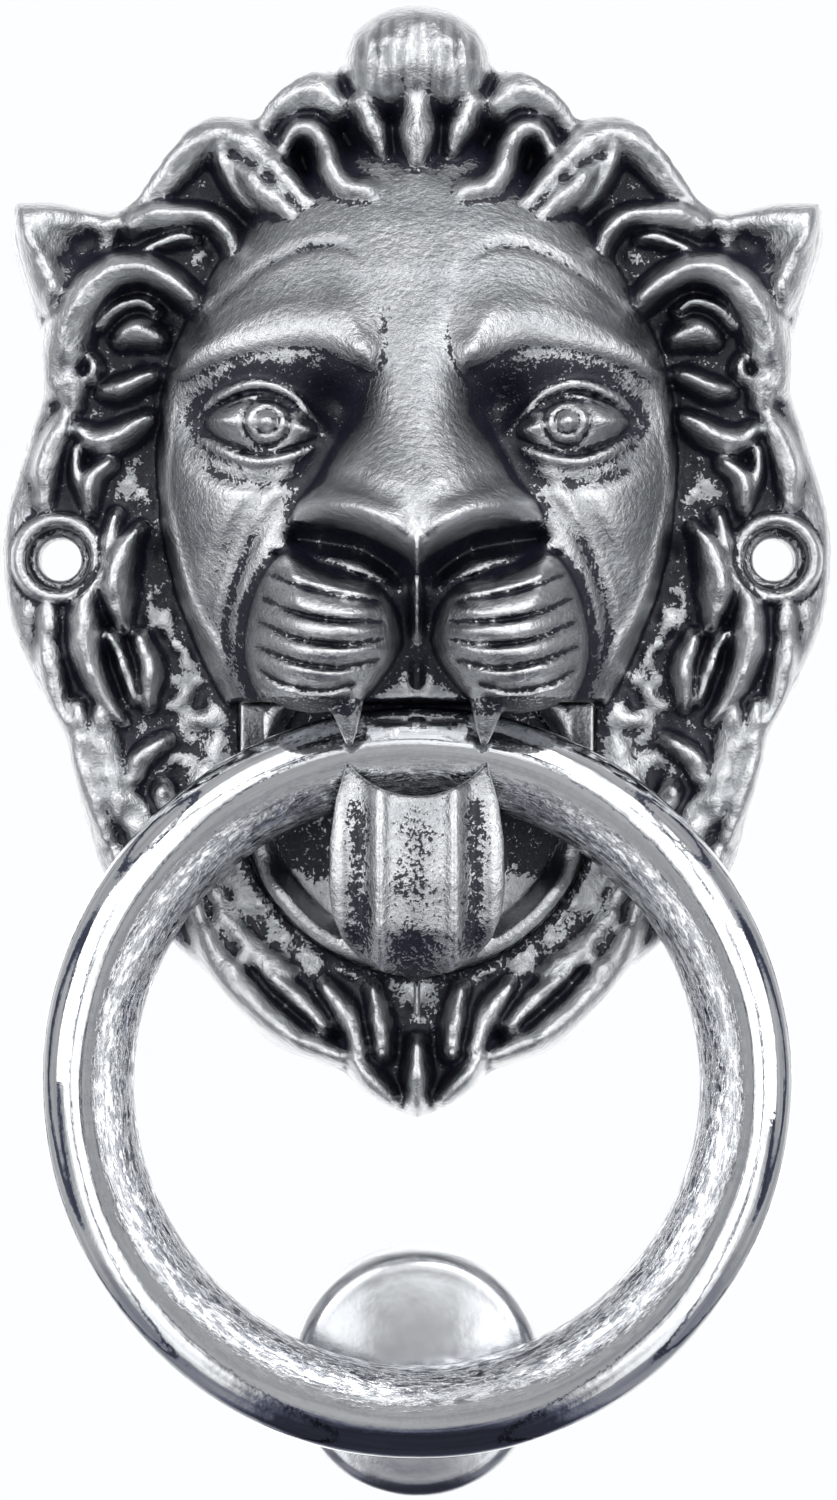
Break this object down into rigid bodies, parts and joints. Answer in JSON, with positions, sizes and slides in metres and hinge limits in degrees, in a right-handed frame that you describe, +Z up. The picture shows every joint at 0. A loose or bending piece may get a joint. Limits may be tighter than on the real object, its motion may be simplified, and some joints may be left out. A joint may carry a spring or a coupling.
{
  "type": "door knocker",
  "caption": "Lion head door knocker: hollow cast mask with a swinging ring held in its jaw, and a separate round striker button.",
  "frame": {"origin": "midway between the two fixing holes, on the door's surface", "axes": "+Z up the door, -Y out of the door towards the viewer, +X to the viewer's right"},
  "size_m": [0.1076, 0.0645, 0.1923],
  "materials": {
    "antique_chrome": "chrome plate on the raised parts, black lacquer left in the hollows",
    "polished_chrome": "polished chrome plate with faint casting and buffing marks",
    "fastener_steel": "bright zinc plated steel"
  },
  "bodies": {
    "fixed": {"lion_mask": "antique_chrome", "jaw_hook": "antique_chrome", "jaw_screw_left": "fastener_steel", "jaw_screw_right": "fastener_steel", "jaw_washer_left": "fastener_steel", "jaw_washer_right": "fastener_steel", "striker_button": "polished_chrome", "striker_stud": "fastener_steel"},
    "ring": {"knocker_ring": "polished_chrome"}
  },
  "joints": [
    {"name": "ring_swing", "type": "hinge", "parent": "fixed", "child": "ring", "pos_m": [0, -0.0181, -0.025], "axis": [-1, 0, 0], "range_deg": [0, 105]}
  ]
}
